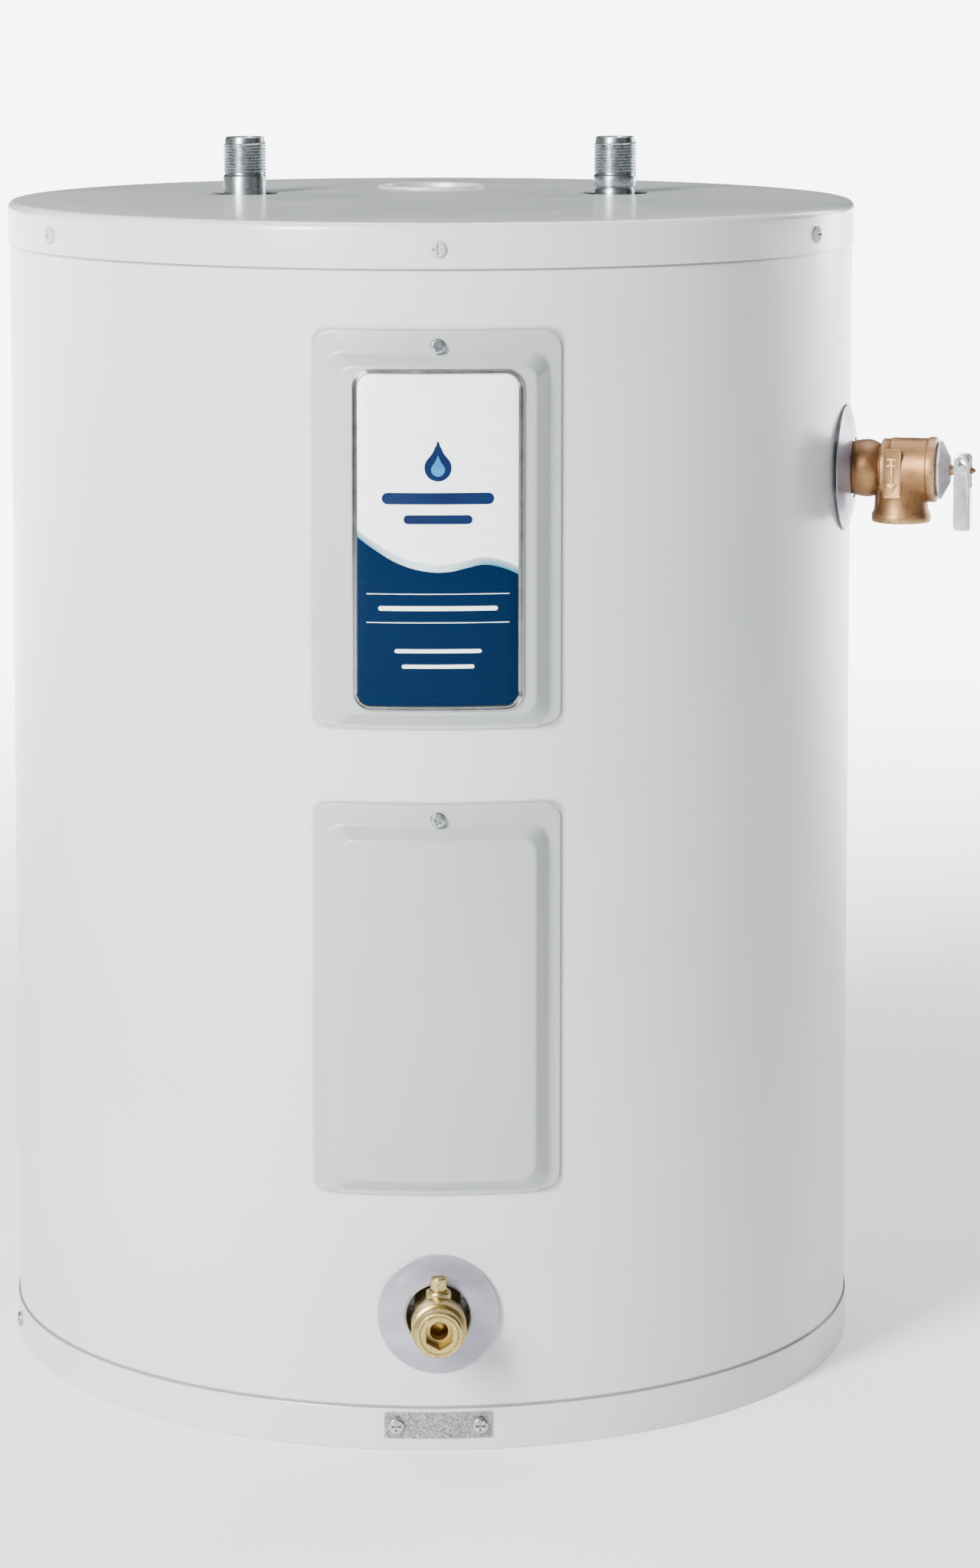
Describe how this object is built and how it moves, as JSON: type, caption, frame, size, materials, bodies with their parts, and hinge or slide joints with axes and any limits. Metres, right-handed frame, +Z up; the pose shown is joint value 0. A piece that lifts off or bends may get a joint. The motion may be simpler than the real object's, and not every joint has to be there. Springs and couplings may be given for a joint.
{
  "type": "tank water heater",
  "caption": "Short round electric tank water heater: pale steel jacket, threaded pipes on top, embossed service covers, side relief valve with test lever, bottom drain valve.",
  "frame": {"origin": "centre of the round base, on the floor", "axes": "+Z up along the tank; the service covers, badge and drain valve face -Y; the relief valve is on the +X side"},
  "size_m": [0.576, 0.5512, 0.727],
  "materials": {
    "jacket_paint": "satin",
    "galvanised": "satin",
    "zinc_steel": "satin",
    "tank_steel": "matte",
    "bronze": "satin",
    "brass": "satin",
    "chrome_trim": "gloss",
    "badge_print": "gloss",
    "escutcheon_plastic": "satin",
    "lilac_enamel": "satin",
    "dark_rubber": "matte",
    "foam": "matte",
    "pad_fibre": "matte",
    "liner_plastic": "matte",
    "thermostat_plastic": "satin",
    "white_plastic": "satin",
    "red_plastic": "satin",
    "ptfe": "satin",
    "wire_black": "satin",
    "wire_red": "satin",
    "anode_metal": "matte"
  },
  "bodies": {
    "root": {"jacket": "jacket_paint", "top_pan": "jacket_paint", "base_pan": "jacket_paint", "lid_screws": "jacket_paint", "base_screws": "zinc_steel", "base_splice_plate": "galvanised", "base_splice_screws": "zinc_steel", "tank_shell": "tank_steel", "tank_top_head": "tank_steel", "tank_bottom_head": "tank_steel", "tank_support_ring": "galvanised", "pipe_spuds": "zinc_steel", "element_spuds": "zinc_steel", "foam_insulation": "foam", "bay_liners": "liner_plastic", "wiring_cup": "zinc_steel", "junction_can": "galvanised", "wire_conduit": "liner_plastic", "supply_wires": "wire_black", "link_wires": "wire_red", "element_leads": "wire_black", "element_gaskets": "dark_rubber", "upper_element_head": "zinc_steel", "lower_element_head": "zinc_steel", "upper_element_loop": "zinc_steel", "lower_element_loop": "zinc_steel", "upper_thermostat": "thermostat_plastic", "lower_thermostat": "thermostat_plastic", "terminal_screws": "zinc_steel", "thermostat_brackets": "galvanised", "cold_nipple": "zinc_steel", "hot_nipple": "zinc_steel", "nipple_gaskets": "dark_rubber", "dip_tube": "white_plastic", "anode_rod": "anode_metal", "anode_core": "zinc_steel", "anode_carrier": "zinc_steel", "relief_escutcheon": "escutcheon_plastic", "relief_body": "bronze", "relief_probe": "bronze", "relief_bonnet": "lilac_enamel", "relief_spring": "zinc_steel", "drain_escutcheon": "escutcheon_plastic", "drain_body": "brass", "drain_seats_and_packing": "ptfe"},
    "upper_cover_set": {"upper_cover": "jacket_paint", "upper_cover_screw": "zinc_steel", "upper_cover_pad": "pad_fibre", "badge_frame": "chrome_trim", "badge_plate": "badge_print"},
    "lower_cover_set": {"lower_cover": "jacket_paint", "lower_cover_screw": "zinc_steel", "lower_cover_pad": "pad_fibre"},
    "upper_dial": {"upper_dial": "white_plastic"},
    "lower_dial": {"lower_dial": "white_plastic"},
    "reset_button": {"reset_button": "red_plastic"},
    "relief_stem": {"relief_stem": "bronze", "relief_lever_pin": "zinc_steel"},
    "relief_lever": {"relief_lever": "galvanised"},
    "drain_ball_and_stem": {"drain_ball_and_stem": "brass"}
  },
  "joints": [
    {"name": "upper_cover_off", "type": "slide", "parent": "root", "child": "upper_cover_set", "axis": [0, -1, 0], "range_m": [0, 0.12]},
    {"name": "lower_cover_off", "type": "slide", "parent": "root", "child": "lower_cover_set", "axis": [0, -1, 0], "range_m": [0, 0.12]},
    {"name": "upper_dial_turn", "type": "hinge", "parent": "root", "child": "upper_dial", "pos_m": [0.014, -0.2245, 0.5197], "axis": [0, -1, 0], "range_deg": [-135, 135]},
    {"name": "lower_dial_turn", "type": "hinge", "parent": "root", "child": "lower_dial", "pos_m": [0.014, -0.2245, 0.25685], "axis": [0, -1, 0], "range_deg": [-135, 135]},
    {"name": "reset_button_press", "type": "slide", "parent": "root", "child": "reset_button", "axis": [0, 1, 0], "range_m": [0, 0.002], "stiffness_N_per_m": 400, "springref_m": -0.001},
    {"name": "relief_stem_lift", "type": "slide", "parent": "root", "child": "relief_stem", "axis": [0.9659, -0.2588, 0], "range_m": [0, 0.003], "deforming": ["relief_spring"]},
    {"name": "relief_lever_turn", "type": "hinge", "parent": "relief_stem", "child": "relief_lever", "pos_m": [0.31306, -0.08388, 0.535], "axis": [-0.2588, -0.9659, 0], "range_deg": [0, 90]},
    {"name": "drain_stem_turn", "type": "hinge", "parent": "root", "child": "drain_ball_and_stem", "pos_m": [0, -0.268, 0.079], "axis": [0, 0, 1], "range_deg": [0, 90]}
  ],
  "couplings": [
    {"joint": "relief_stem_lift", "follows": "relief_lever_turn", "m_per_rad": 0.0019099}
  ]
}
